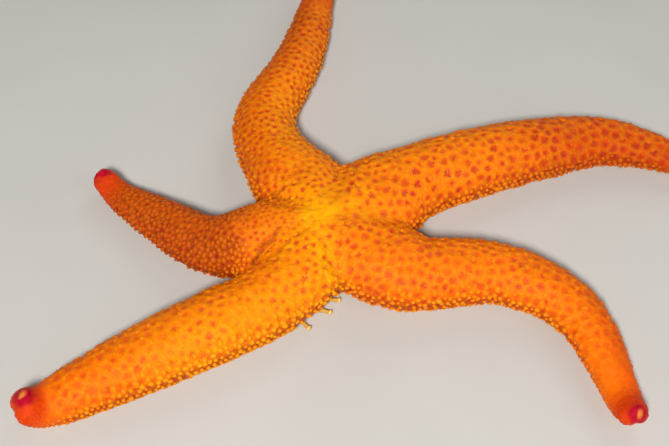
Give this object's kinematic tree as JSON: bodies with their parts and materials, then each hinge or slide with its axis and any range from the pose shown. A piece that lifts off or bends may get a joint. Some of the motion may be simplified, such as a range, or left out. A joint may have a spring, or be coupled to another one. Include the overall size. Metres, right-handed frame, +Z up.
{
  "type": "sea star",
  "caption": "Life-size red sea star at rest on a floor, its bent arms tapering to turned-up tips with a pale eyespot, an open groove along the underside of each arm",
  "frame": {"origin": "middle of the whole model's bounding box, on the floor that the animal rests on", "axes": "+Z up, +X along the longest extent, from the left arms to the right arms, +Y towards the back arm"},
  "size_m": [0.172, 0.143, 0.0163],
  "materials": {
    "skin_disc": "satin",
    "skin_root": "satin",
    "skin_middle": "satin",
    "skin_tip": "satin",
    "mouth": "satin",
    "madreporite": "matte",
    "eyespot": "gloss"
  },
  "bodies": {
    "root": {"disc": "skin_disc", "mouth": "mouth", "madreporite": "madreporite", "arm_right_base": "skin_root", "arm_right_middle": "skin_middle", "arm_right_end": "skin_tip", "eye_right": "eyespot", "arm_back_base": "skin_root", "arm_back_middle": "skin_middle", "arm_back_end": "skin_tip", "eye_back": "eyespot", "arm_left_base": "skin_root", "arm_left_middle": "skin_middle", "arm_left_end": "skin_tip", "eye_left": "eyespot", "arm_front_left_base": "skin_root", "arm_front_left_middle": "skin_middle", "arm_front_left_end": "skin_tip", "eye_front_left": "eyespot", "arm_front_right_base": "skin_root", "arm_front_right_middle": "skin_middle", "arm_front_right_end": "skin_tip", "eye_front_right": "eyespot"}
  },
  "joints": []
}
